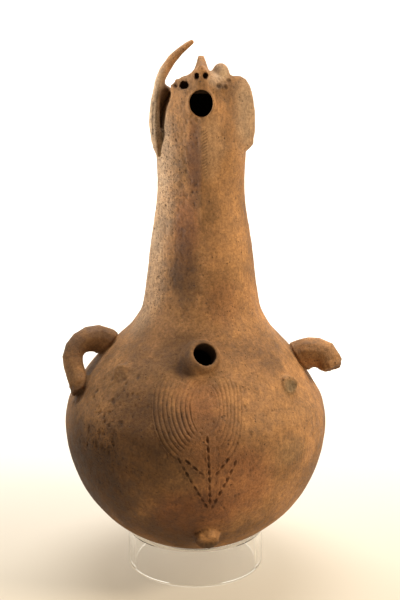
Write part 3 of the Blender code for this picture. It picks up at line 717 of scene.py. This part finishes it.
def relief(points):
    """Height to add along the normal, and how dark the colour is made there, 0 to 1: darker marks, and
    painted shade in holes, hollows and on the throat.
    """
    turn, level = round_about(points)
    skin = 1 - step(np.abs(level), *SKIN_REACH)
    front = skin * (np.abs(turn) < FRONT_TURN)
    groove, between = arcs(turn, points)
    band = front * (points[:, 2] < ARC_FIELD[1]) * (points[:, 2] > ARC_FIELD[0])
    groove, between = band * groove, band * between
    stab, lip = stabs(points)
    stab, lip = front * stab, front * lip
    stroke = front * strokes(turn, points)
    pit = skin * pits(points) * (1 - near(points, SPOUT_CENTRE, SPOUT_REACH, 0.2))
    height = front * KEEL_HEIGHT * keel(turn, points)
    height = height - GROOVE_DEPTH * groove + RIDGE_HEIGHT * between
    height = height - STAB_DEPTH * stab + STAB_LIP * lip - STROKE_DEPTH * stroke - pit
    face_height, face_painted_shade = face(points, level)
    crest_slit = slit(points)
    height = height + face_height - SLIT_DEPTH * crest_slit
    height = height + outside(level) * unevenness(points)
    shade_and_mark_dark = GROOVE_DARK * groove + STAB_DARK * stab + STROKE_DARK * stroke
    shade_and_mark_dark = shade_and_mark_dark + np.minimum(pit / FULL_PIT_DEPTH, 1.0) * PIT_DARK
    # Painted shade: the band left of the keel, and the crest's slit.
    shade_and_mark_dark = shade_and_mark_dark + THROAT_PAINTED_SHADE * front * throat_shade_band(turn, points) + SLIT_PAINTED_SHADE * crest_slit
    # Painted shade: the hollow inside the wall and the spout's bore are coloured dark.
    within = 1 - step(level, *WALL_PAINTED_SHADE_LEVELS)
    shade_and_mark_dark = np.maximum.reduce([shade_and_mark_dark, face_painted_shade, within, spout_bore(points)])
    return height, np.clip(shade_and_mark_dark, 0, 1)


# Finely cut fields, whose faces are made smaller: turns in radians, heights and how near the skin.
FINE_FIELDS = (
    ((math.radians(-23), math.radians(28)), (0.094, 0.212), 0.002),
    ((-0.06, 0.18), (0.368, 0.413), 0.003),
)
FINE_CUTS = 2


def densify(mesh):
    """Make the faces smaller where the pattern is cut."""
    points, _ = mesh_arrays(mesh)
    turn, level = round_about(points)
    inside = np.zeros(len(points), bool)
    for (first, last), (low, high), reach in FINE_FIELDS:
        about = (turn > first) & (turn < last) & (np.abs(level) < reach)
        inside |= about & (points[:, 2] > low) & (points[:, 2] < high)
    finer = bmesh.new()
    finer.from_mesh(mesh)
    finer.verts.ensure_lookup_table()
    chosen = [edge for edge in finer.edges if inside[edge.verts[0].index] and inside[edge.verts[1].index]]
    bmesh.ops.subdivide_edges(finer, edges=chosen, cuts=FINE_CUTS, use_grid_fill=True)
    finer.to_mesh(mesh)
    finer.free()


def vessel_mesh():
    """The rounded solid with its relief raised and cut."""
    mesh = rounded_solid()
    densify(mesh)
    points, _ = mesh_arrays(mesh)
    mesh.update()
    normals = normals_of(mesh)
    height, _ = relief(points)
    set_points(mesh, points + height[:, None] * normals)
    return mesh


def thinned(mesh):
    """Fewer triangles where the form is smooth."""
    piece = new_piece("thinning", mesh)
    triangles = sum(len(face.vertices) - 2 for face in mesh.polygons)
    if triangles > MOST_TRIANGLES:
        fewer = piece.modifiers.new("fewer", "DECIMATE")
        fewer.ratio = MOST_TRIANGLES / triangles
    result = evaluated_mesh(piece)
    bpy.data.objects.remove(piece)
    return result


def new_material(name):
    """A new material with its node tree and its shader."""
    material = bpy.data.materials.new(name)
    material.use_nodes = True
    return material, material.node_tree, material.node_tree.nodes["Principled BSDF"]


def join(tree, source, target):
    tree.links.new(source, target)


def noise(tree, place, size, detail=4.0, roughness=0.55, stretch=(1, 1, 1)):
    """Noise with features of a size in metres."""
    scaled = tree.nodes.new("ShaderNodeVectorMath")
    scaled.operation = "MULTIPLY"
    scaled.inputs[1].default_value = stretch
    join(tree, place, scaled.inputs[0])
    texture = tree.nodes.new("ShaderNodeTexNoise")
    texture.inputs["Scale"].default_value = 1 / size
    texture.inputs["Detail"].default_value = detail
    texture.inputs["Roughness"].default_value = roughness
    join(tree, scaled.outputs[0], texture.inputs["Vector"])
    return texture.outputs["Fac"]


def spread(tree, value, low, high, to_low=0.0, to_high=1.0):
    """Map a value from one range to another with smooth ends."""
    mapped = tree.nodes.new("ShaderNodeMapRange")
    mapped.interpolation_type = "SMOOTHSTEP"
    mapped.inputs["From Min"].default_value = low
    mapped.inputs["From Max"].default_value = high
    mapped.inputs["To Min"].default_value = to_low
    mapped.inputs["To Max"].default_value = to_high
    join(tree, value, mapped.inputs["Value"])
    return mapped.outputs["Result"]


def maths(tree, operation, *values):
    """Result of an operation on numbers or node outputs."""
    node = tree.nodes.new("ShaderNodeMath")
    node.operation = operation
    for socket, value in zip(node.inputs, values):
        if isinstance(value, (int, float)):
            socket.default_value = value
        else:
            join(tree, value, socket)
    return node.outputs[0]


def mixed(tree, share, first, second, blend="MIX"):
    """Blend of two colours, each given as three numbers or a node output."""
    node = tree.nodes.new("ShaderNodeMix")
    node.data_type = "RGBA"
    node.blend_type = blend
    for socket, value in ((node.inputs[0], share), (node.inputs[6], first), (node.inputs[7], second)):
        if isinstance(value, (int, float)):
            socket.default_value = value
        elif isinstance(value, tuple):
            socket.default_value = (*value, 1.0)
        else:
            join(tree, value, socket)
    return node.outputs[2]


def cloud(tree, place, centre, radii, edge, ragged=0.5):
    """Soft patch about a place on the vessel, its edge made ragged by noise."""
    moved = tree.nodes.new("ShaderNodeVectorMath")
    moved.operation = "SUBTRACT"
    moved.inputs[1].default_value = centre
    join(tree, place, moved.inputs[0])
    shrunk = tree.nodes.new("ShaderNodeVectorMath")
    shrunk.operation = "DIVIDE"
    shrunk.inputs[1].default_value = radii
    join(tree, moved.outputs[0], shrunk.inputs[0])
    length = tree.nodes.new("ShaderNodeVectorMath")
    length.operation = "LENGTH"
    join(tree, shrunk.outputs[0], length.inputs[0])
    uneven = maths(tree, "MULTIPLY_ADD", edge, ragged, -0.5 * ragged)
    total = maths(tree, "ADD", length.outputs["Value"], uneven)
    return spread(tree, total, 1.0, 0.35)


# Clay colours, and the patches where smoke, wear or the firing changed them, or where shade or light is
# painted: centre, radii and strength.
ORANGE_CLAY = (0.400, 0.204, 0.080)
BROWN_CLAY = (0.218, 0.112, 0.043)
RED_CLAY = (0.300, 0.112, 0.044)
GREY_CLAY = (0.430, 0.310, 0.200)
# Pale clay, used for real wear and as painted light.
PALE_WEAR_AND_PAINTED_LIGHT = (0.480, 0.250, 0.096)
# Dark of smoke, also used as painted shade.
SMOKE_AND_PAINTED_SHADE = (0.060, 0.027, 0.010)
# Dark colour of the marks, also used as painted shade in the holes and hollows.
SHADE_AND_MARK_DARK = (0.030, 0.018, 0.012)
GREEN_GREY = (0.150, 0.120, 0.068)

# Smoke stains and dark broken faces, and painted shade: the darker band left of the neck's keel, the shaded
# left shoulder, arm and belly, the shadow beside the spout's left side, and the crest's shaded left side.
SMOKE_AND_SHADE_PATCHES = (
    ((-0.006, -0.044, 0.385), (0.0075, 0.020, 0.050), 0.45),
    ((-0.016, -0.050, 0.305), (0.022, 0.028, 0.055), 0.45),
    ((-0.045, -0.070, 0.232), (0.060, 0.050, 0.030), 0.40),
    ((-0.052, -0.105, 0.165), (0.058, 0.050, 0.060), 0.48),
    ((0.003, -0.115, 0.155), (0.040, 0.040, 0.050), 0.35),
    ((-0.012, -0.080, 0.212), (0.015, 0.015, 0.015), 0.80),
    ((0.060, -0.130, 0.050), (0.080, 0.060, 0.030), 0.25),
    ((-0.105, -0.020, 0.222), (0.042, 0.040, 0.034), 0.62),
    ((0.004, -0.080, 0.228), (0.046, 0.040, 0.014), 0.38),
    ((0.058, -0.060, 0.220), (0.048, 0.045, 0.024), 0.34),
    ((-0.006, -0.028, 0.468), (0.0032, 0.020, 0.010), 0.65),
    ((0.020, -0.033, 0.4490), (0.011, 0.014, 0.007), 0.50),
    ((-0.046, -0.110, 0.172), (0.034, 0.040, 0.034), 0.45),
    ((0.000, -0.080, 0.222), (0.026, 0.022, 0.024), 0.35),
    ((-0.030, -0.090, 0.055), (0.070, 0.060, 0.036), 0.45),
    ((-0.060, -0.060, 0.200), (0.014, 0.014, 0.012), 0.45),
    ((-0.095, -0.070, 0.105), (0.090, 0.095, 0.075), 0.85),
    ((-0.030, -0.115, 0.060), (0.095, 0.060, 0.040), 0.60),
    ((-0.014, -0.045, 0.290), (0.018, 0.020, 0.045), 0.50),
    ((-0.108, -0.036, 0.178), (0.016, 0.016, 0.014), 0.75),
    ((0.123, -0.018, 0.190), (0.014, 0.012, 0.010), 0.75),
    ((0.055, 0.100, 0.150), (0.080, 0.070, 0.060), 0.50),
    ((0.000, -0.116, 0.098), (0.034, 0.040, 0.026), 0.34),
)
RED_PATCHES = (
    ((-0.005, -0.045, 0.385), (0.009, 0.020, 0.050), 0.50),
    ((-0.010, -0.110, 0.085), (0.050, 0.050, 0.040), 0.60),
    ((0.004, -0.120, 0.165), (0.035, 0.040, 0.045), 0.35),
    ((-0.012, -0.040, 0.325), (0.016, 0.020, 0.050), 0.55),
    ((0.020, -0.048, 0.262), (0.022, 0.020, 0.030), 0.20),
    ((0.030, -0.110, 0.120), (0.045, 0.050, 0.050), 0.50),
    ((0.000, -0.100, 0.190), (0.030, 0.050, 0.020), 0.35),
)
GREY_PATCHES = (
    ((-0.044, -0.020, 0.335), (0.030, 0.034, 0.045), 0.60),
    ((0.017, -0.014, 0.459), (0.013, 0.024, 0.010), 0.80),
    ((-0.045, -0.018, 0.385), (0.036, 0.034, 0.060), 0.75),
    ((-0.050, -0.020, 0.280), (0.034, 0.034, 0.070), 0.55),
    ((-0.044, -0.012, 0.435), (0.022, 0.026, 0.060), 0.90),
    ((0.044, -0.020, 0.425), (0.020, 0.030, 0.050), 0.60),
    ((0.016, -0.035, 0.455), (0.014, 0.020, 0.012), 0.50),
    ((0.012, -0.046, 0.400), (0.018, 0.020, 0.045), 0.30),
)
GREEN_PATCHES = (
    ((0.076, -0.082, 0.140), (0.028, 0.030, 0.018), 0.30),
    ((0.078, -0.060, 0.190), (0.012, 0.012, 0.011), 0.70),
    ((0.010, -0.096, 0.056), (0.014, 0.014, 0.010), 0.55),
)
# Painted light: the key-lit right side of the neck and of the belly are made paler.
PAINTED_LIGHT_PATCHES = (
    ((0.038, -0.040, 0.315), (0.028, 0.034, 0.050), 0.70),
    ((0.012, -0.042, 0.400), (0.012, 0.016, 0.050), 0.60),
    ((0.028, -0.032, 0.360), (0.022, 0.026, 0.060), 0.40),
    ((0.075, -0.070, 0.165), (0.050, 0.050, 0.050), 0.35),
)
WORN_PATCHES = (
    ((0.0075, -0.100, 0.068), (0.013, 0.016, 0.012), 0.85),
    ((-0.006, -0.086, 0.226), (0.005, 0.010, 0.010), 0.30),
)

# Each kind of patch with its colour, from the undermost to the topmost.
PATCHES = (
    (PAINTED_LIGHT_PATCHES, PALE_WEAR_AND_PAINTED_LIGHT),
    (RED_PATCHES, RED_CLAY),
    (GREY_PATCHES, GREY_CLAY),
    (GREEN_PATCHES, GREEN_GREY),
    (SMOKE_AND_SHADE_PATCHES, SMOKE_AND_PAINTED_SHADE),
    (WORN_PATCHES, PALE_WEAR_AND_PAINTED_LIGHT),
)

# Patches with many fine pits: centre and radii. The densities are shares of the cells that hold a pit.
PITTED_PATCHES = (
    ((-0.040, -0.022, 0.375), (0.036, 0.034, 0.075)),
    ((-0.048, -0.024, 0.275), (0.036, 0.034, 0.050)),
    ((-0.075, -0.080, 0.150), (0.035, 0.035, 0.040)),
)
PIT_DENSITY = 0.05
PITTED_DENSITY = 0.75
FINE_PIT_SIZES = (0.0016, 0.0026)
FINE_PIT_EDGE = (0.36, 0.16)


def fine_pits(tree, place, size, density):
    """Scattered round pits, 1 in the middle of each, in a share of the cells that the density gives."""
    cells = tree.nodes.new("ShaderNodeTexVoronoi")
    cells.inputs["Scale"].default_value = 1 / size
    join(tree, place, cells.inputs["Vector"])
    chance = tree.nodes.new("ShaderNodeSeparateColor")
    join(tree, cells.outputs["Color"], chance.inputs[0])
    there = maths(tree, "LESS_THAN", chance.outputs[0], density)
    return maths(tree, "MULTIPLY", there, spread(tree, cells.outputs["Distance"], *FINE_PIT_EDGE))


def clay_colour(tree, place, edge):
    """Colour of the clay with its broad patches, painted shade and painted light among them, before its fine
    grain.
    """
    blotch = noise(tree, place, 0.045, detail=6.0, roughness=0.62)
    colour = mixed(tree, spread(tree, blotch, 0.36, 0.66), BROWN_CLAY, ORANGE_CLAY)
    for patches, tint in PATCHES:
        for centre, radii, strength in patches:
            patch = cloud(tree, place, centre, radii, edge)
            colour = mixed(tree, maths(tree, "MULTIPLY", patch, strength), colour, tint)
    return colour


def pitted_share(tree, place, edge):
    """1 in the fine pits, which lie close together in some patches and far apart elsewhere."""
    patches = [cloud(tree, place, centre, radii, edge) for centre, radii in PITTED_PATCHES]
    density = patches[0]
    for patch in patches[1:]:
        density = maths(tree, "MAXIMUM", density, patch)
    density = maths(tree, "MULTIPLY_ADD", density, PITTED_DENSITY, PIT_DENSITY)
    small, large = [fine_pits(tree, place, size, density) for size in FINE_PIT_SIZES]
    return maths(tree, "MAXIMUM", small, large)


def clay_material():
    """Unglazed matt clay: broad patches, some of them painted shade and painted light, fine grain, darker
    marks with painted shade in the holes and hollows, and pores.
    """
    material, tree, shader = new_material("fired clay")
    place = tree.nodes.new("ShaderNodeTexCoord").outputs["Object"]
    edge = noise(tree, place, 0.020, detail=5.0, roughness=0.6)
    mottle = noise(tree, place, 0.009, detail=5.0, roughness=0.65)
    speck = noise(tree, place, 0.0022, detail=3.0, roughness=0.7)
    brushed = noise(tree, place, 0.0030, detail=3.0, roughness=0.6, stretch=(1, 1, 0.16))
    colour = clay_colour(tree, place, edge)
    for share, grain, low, high, dark, pale in (
        (0.55, mottle, 0.30, 0.70, (0.60, 0.56, 0.52), (1.32, 1.28, 1.22)),
        (0.60, speck, 0.30, 0.68, (0.58, 0.54, 0.50), (1.25, 1.24, 1.20)),
        (0.28, brushed, 0.35, 0.65, (0.72, 0.70, 0.68), (1.18, 1.17, 1.15)),
    ):
        shade = mixed(tree, spread(tree, grain, low, high), dark, pale)
        colour = mixed(tree, share, colour, shade, "MULTIPLY")
    pitted = pitted_share(tree, place, edge)
    colour = mixed(tree, maths(tree, "MULTIPLY", pitted, 0.58), colour, SHADE_AND_MARK_DARK)
    # This attribute darkens the marks and paints shade into the holes, hollows and throat band.
    shade_and_mark_dark = tree.nodes.new("ShaderNodeAttribute")
    shade_and_mark_dark.attribute_name = "shade_and_mark_dark"
    colour = mixed(tree, maths(tree, "MULTIPLY", shade_and_mark_dark.outputs["Fac"], 0.85), colour, SHADE_AND_MARK_DARK)
    join(tree, colour, shader.inputs["Base Color"])
    join(tree, spread(tree, mottle, 0.3, 0.7, 0.62, 0.84), shader.inputs["Roughness"])
    shader.inputs["Specular IOR Level"].default_value = 0.32
    pores = noise(tree, place, 0.0009, detail=2.0, roughness=0.6)
    height = maths(tree, "MULTIPLY", speck, 0.55)
    height = maths(tree, "ADD", height, maths(tree, "MULTIPLY", spread(tree, pores, 0.30, 0.50), 0.30))
    height = maths(tree, "ADD", height, maths(tree, "MULTIPLY", brushed, 0.35))
    height = maths(tree, "SUBTRACT", height, maths(tree, "MULTIPLY", pitted, 0.9))
    bump = tree.nodes.new("ShaderNodeBump")
    bump.inputs["Strength"].default_value = 0.75
    bump.inputs["Distance"].default_value = 0.0009
    join(tree, height, bump.inputs["Height"])
    join(tree, bump.outputs["Normal"], shader.inputs["Normal"])
    return material


def acrylic_material():
    """Clear polished acrylic."""
    material, _, shader = new_material("clear acrylic")
    shader.inputs["Base Color"].default_value = (0.985, 0.985, 0.975, 1.0)
    shader.inputs["Roughness"].default_value = 0.02
    shader.inputs["IOR"].default_value = 1.49
    shader.inputs["Transmission Weight"].default_value = 1.0
    return material


# Glow of the floor, painted light that stands in for the lamps' fall-off and lightens shadows on it: its
# colours, and the distances back between which one turns into the other.
FLOOR_GLOW_NEAR = (0.380, 0.300, 0.200)
FLOOR_GLOW_FAR = (0.950, 0.940, 0.900)
FLOOR_GLOW_FROM = -0.25
FLOOR_GLOW_TO = 0.88
FLOOR_PAPER = (0.36, 0.33, 0.28, 1.0)


def floor_material():
    """Pale paper with a glow of its own, painted light that is dim cream in front and white further back."""
    material, tree, shader = new_material("pale floor")
    place = tree.nodes.new("ShaderNodeTexCoord").outputs["Object"]
    parts = tree.nodes.new("ShaderNodeSeparateXYZ")
    join(tree, place, parts.inputs[0])
    far = spread(tree, parts.outputs["Y"], FLOOR_GLOW_FROM, FLOOR_GLOW_TO)
    join(tree, mixed(tree, far, FLOOR_GLOW_NEAR, FLOOR_GLOW_FAR), shader.inputs["Emission Color"])
    shader.inputs["Emission Strength"].default_value = 1.0
    shader.inputs["Roughness"].default_value = 0.9
    shader.inputs["Specular IOR Level"].default_value = 0.1
    shader.inputs["Base Color"].default_value = FLOOR_PAPER
    return material


def vessel():
    """The clay vessel, whose points carry how dark its material is made there: darker marks, and painted
    shade in its holes and hollows.
    """
    mesh = thinned(vessel_mesh())
    points, _ = mesh_arrays(mesh)
    _, shade_and_mark_dark = relief(points)
    layer = mesh.attributes.new("shade_and_mark_dark", "FLOAT", "POINT")
    layer.data.foreach_set("value", shade_and_mark_dark.astype(np.float32))
    mesh.materials.clear()
    mesh.materials.append(clay_material())
    mesh.shade_smooth()
    piece = new_piece("fired_clay_vessel", mesh)
    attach(piece, "root")
    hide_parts("vessel")


# The ring, as its solid has it, with its edges just broken.
RING_WALL = 0.006
RING_EDGE = 0.0004
RING_SEGMENTS = 224
RING_SHARP_ANGLE = math.radians(30)


def ring():
    """Cut length of clear tube."""
    low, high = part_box("ring_stand")
    centre = (low + high) / 2
    outer = (high.x - low.x) / 2
    inner = outer - RING_WALL
    outline = (
        (inner + RING_EDGE, low.z), (outer - RING_EDGE, low.z), (outer, low.z + RING_EDGE),
        (outer, high.z - RING_EDGE), (outer - RING_EDGE, high.z), (inner + RING_EDGE, high.z),
        (inner, high.z - RING_EDGE), (inner, low.z + RING_EDGE),
    )
    data = bmesh.new()
    loops = []
    for k in range(RING_SEGMENTS):
        angle = 2 * math.pi * k / RING_SEGMENTS
        across, along = math.cos(angle), math.sin(angle)
        loops.append([data.verts.new((centre.x + r * across, centre.y + r * along, z)) for r, z in outline])
    for here, following in zip(loops, loops[1:] + loops[:1]):
        for k in range(len(outline)):
            after = (k + 1) % len(outline)
            data.faces.new((here[k], here[after], following[after], following[k]))
    bmesh.ops.recalc_face_normals(data, faces=data.faces)
    mesh = bpy.data.meshes.new("clear_ring")
    data.to_mesh(mesh)
    data.free()
    mesh.materials.append(acrylic_material())
    mesh.shade_smooth()
    mesh.set_sharp_from_angle(angle=RING_SHARP_ANGLE)
    piece = new_piece("clear_ring", mesh)
    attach(piece, "root")
    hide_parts("ring_stand")


# Floor that sweeps up behind the object.
FLOOR_HALF_WIDTH = 3.0
FLOOR_FRONT = -2.5
SWEEP_START = 0.9
SWEEP_RADIUS = 0.9
WALL_HEIGHT = 2.6
SWEEP_STEPS = 24


def floor():
    """Plain pale paper that runs level under the object and curves up into a wall behind it."""
    line = [(FLOOR_FRONT, 0.0)]
    for k in range(SWEEP_STEPS + 1):
        angle = math.pi / 2 * k / SWEEP_STEPS
        line.append((SWEEP_START + SWEEP_RADIUS * math.sin(angle), SWEEP_RADIUS * (1 - math.cos(angle))))
    line.append((SWEEP_START + SWEEP_RADIUS, WALL_HEIGHT))
    data = bmesh.new()
    rows = [[data.verts.new((x, y, z)) for x in (-FLOOR_HALF_WIDTH, FLOOR_HALF_WIDTH)] for y, z in line]
    for here, following in zip(rows, rows[1:]):
        data.faces.new((here[0], here[1], following[1], following[0]))
    mesh = bpy.data.meshes.new("floor")
    data.to_mesh(mesh)
    data.free()
    mesh.materials.append(floor_material())
    mesh.shade_smooth()
    new_piece("floor", mesh)


def area_light(name, place, target, size, power, colour, spread_angle):
    """Soft round light that faces a place."""
    data = bpy.data.lights.new(name, "AREA")
    data.spread = spread_angle
    data.shape = "DISK"
    data.size = size
    data.energy = power
    data.color = colour
    light = bpy.data.objects.new(name, data)
    light.location = place
    light.rotation_euler = (Vector(target) - Vector(place)).to_track_quat("-Z", "Y").to_euler()
    bpy.context.scene.collection.objects.link(light)


# Lights: name, place, what each faces, width, watts, colour and spread.
LIGHTS = (
    ("key", (1.17, -0.46, 1.08), (0.0, 0.0, 0.26), 0.45, 24.0, (1.0, 0.86, 0.67), math.pi),
    ("rim", (-0.53, -0.15, 0.39), (-0.03, 0.0, 0.410), 0.20, 0.50, (1.0, 0.97, 0.93), math.radians(58)),
    ("backdrop", (0.0, 0.55, 1.9), (0.0, 1.7, 0.3), 1.4, 60.0, (1.0, 0.98, 0.95), math.pi),
)
WORLD_COLOUR = (1.0, 0.90, 0.74, 1.0)
WORLD_STRENGTH = 0.13


def lights():
    """Warm key light from the right, weak rim light from the left, light on the backdrop, and an even sky."""
    for light in LIGHTS:
        area_light(*light)
    world = bpy.data.worlds.new("studio")
    bpy.context.scene.world = world
    world.use_nodes = True
    background = world.node_tree.nodes["Background"]
    background.inputs["Color"].default_value = WORLD_COLOUR
    background.inputs["Strength"].default_value = WORLD_STRENGTH


# Camera as in the photo, looking down by 13 degrees. The lens and sensor are in millimetres.
CAMERA_LENS = 70
CAMERA_SENSOR = 36
CAMERA_PLACE = (0.0, -1.041, 0.4944)
CAMERA_TILT = math.radians(77.0)
CAMERA_REACH = 50


def camera():
    """The photo's camera, and plain colours without a film look."""
    data = bpy.data.cameras.new("camera")
    data.lens = CAMERA_LENS
    data.sensor_width = CAMERA_SENSOR
    data.clip_end = CAMERA_REACH
    holder = bpy.data.objects.new("camera", data)
    holder.location = CAMERA_PLACE
    holder.rotation_euler = (CAMERA_TILT, 0.0, 0.0)
    bpy.context.scene.collection.objects.link(holder)
    bpy.context.scene.camera = holder
    bpy.context.scene.view_settings.view_transform = "Standard"


vessel()
ring()
floor()
lights()
camera()
